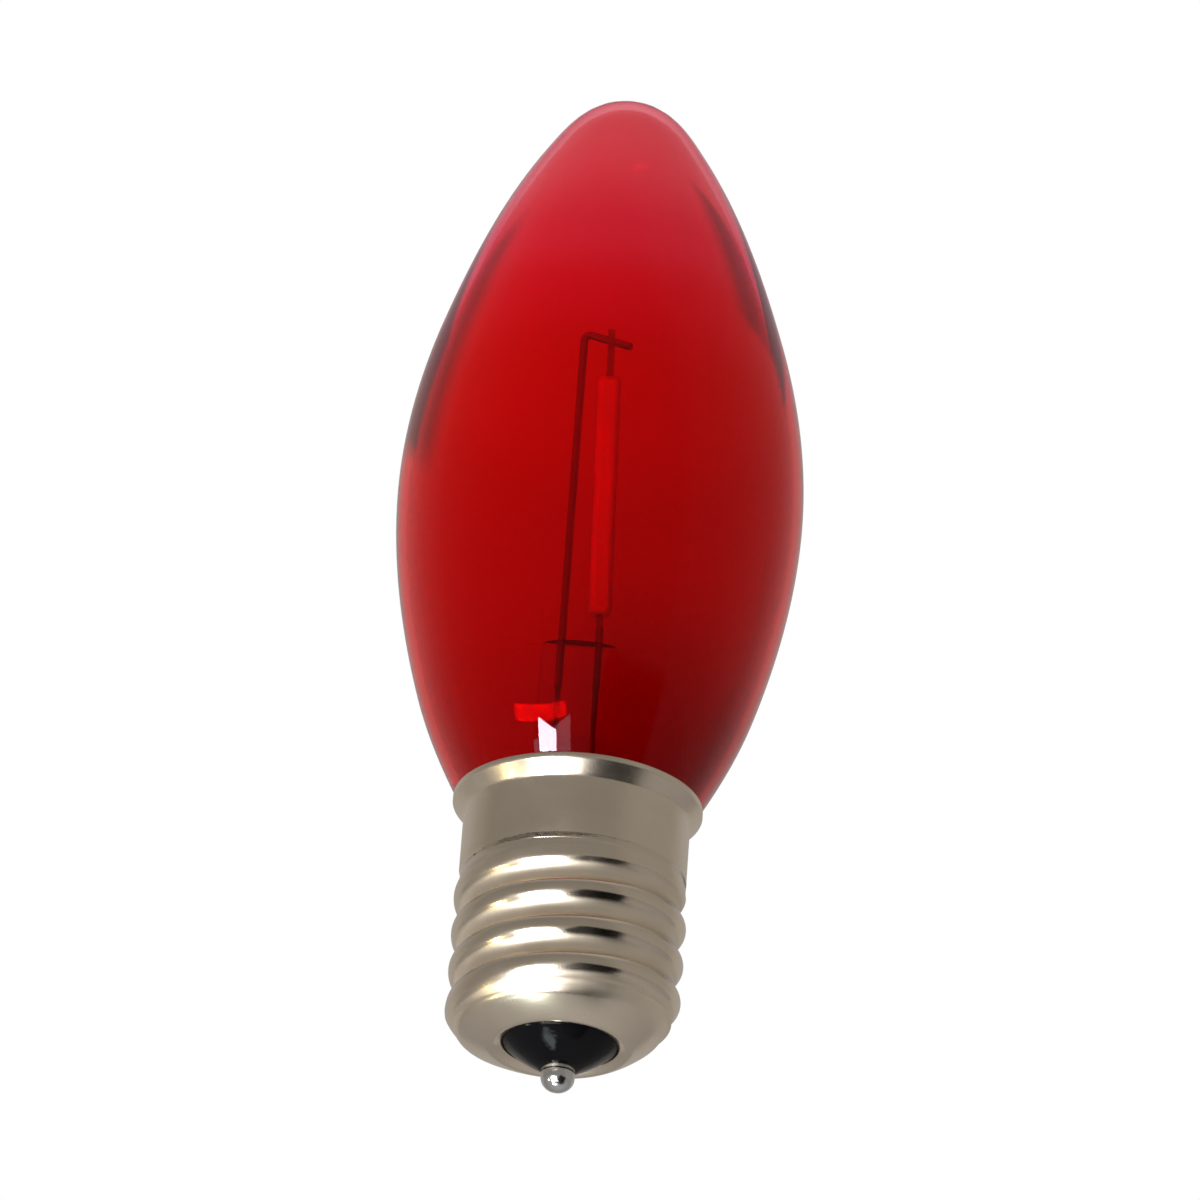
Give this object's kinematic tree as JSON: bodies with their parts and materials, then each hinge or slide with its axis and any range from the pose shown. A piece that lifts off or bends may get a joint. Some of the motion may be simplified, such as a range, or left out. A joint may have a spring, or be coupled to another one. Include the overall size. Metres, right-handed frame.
{
  "type": "filament christmas bulb",
  "caption": "Red glass flame-shaped string-light bulb with one straight filament on wire supports and a threaded metal screw base.",
  "frame": {"origin": "tip of the centre contact's solder bead, on the bulb's axis, where the base meets its socket's spring", "axes": "+Z along the axis from the contact to the point of the glass; -Y is the side that the filament's chips face"},
  "size_m": [0.0286, 0.0286, 0.0766],
  "materials": {
    "plated_shell": "bright nickel plate, slightly warm",
    "black_glass": "glossy black glass, as a dense moulded insulator",
    "eyelet_metal": "plated brass",
    "solder": "bright solder",
    "cement": "pale lamp cement",
    "red_glass": "clear red, glossy",
    "clear_glass": "clear, glossy",
    "support_wire": "plated wire",
    "strip": "white ceramic-like strip",
    "chip": "dark glossy chips",
    "tab_metal": "thin plated sheet",
    "phosphor": "yellow silicone",
    "board": "green laminate",
    "package": "black moulding",
    "capacitor": "tan ceramic",
    "lead_wire": "tinned copper"
  },
  "bodies": {
    "root": {"screw_shell": "plated_shell", "base_insulator": "black_glass", "centre_contact": "eyelet_metal", "centre_solder": "solder", "base_cement": "cement", "glass_envelope": "red_glass", "glass_stem": "clear_glass", "long_lead_wire": "support_wire", "short_lead_wire": "support_wire", "filament_strip": "strip", "led_chips": "chip", "lower_terminal": "tab_metal", "upper_terminal": "tab_metal", "phosphor_coat": "phosphor", "driver_board": "board", "bridge_rectifier": "package", "series_resistors": "package", "smoothing_capacitor": "capacitor", "centre_lead": "lead_wire", "shell_lead": "lead_wire", "shell_solder": "solder", "board_solder_joints": "solder"}
  },
  "joints": []
}
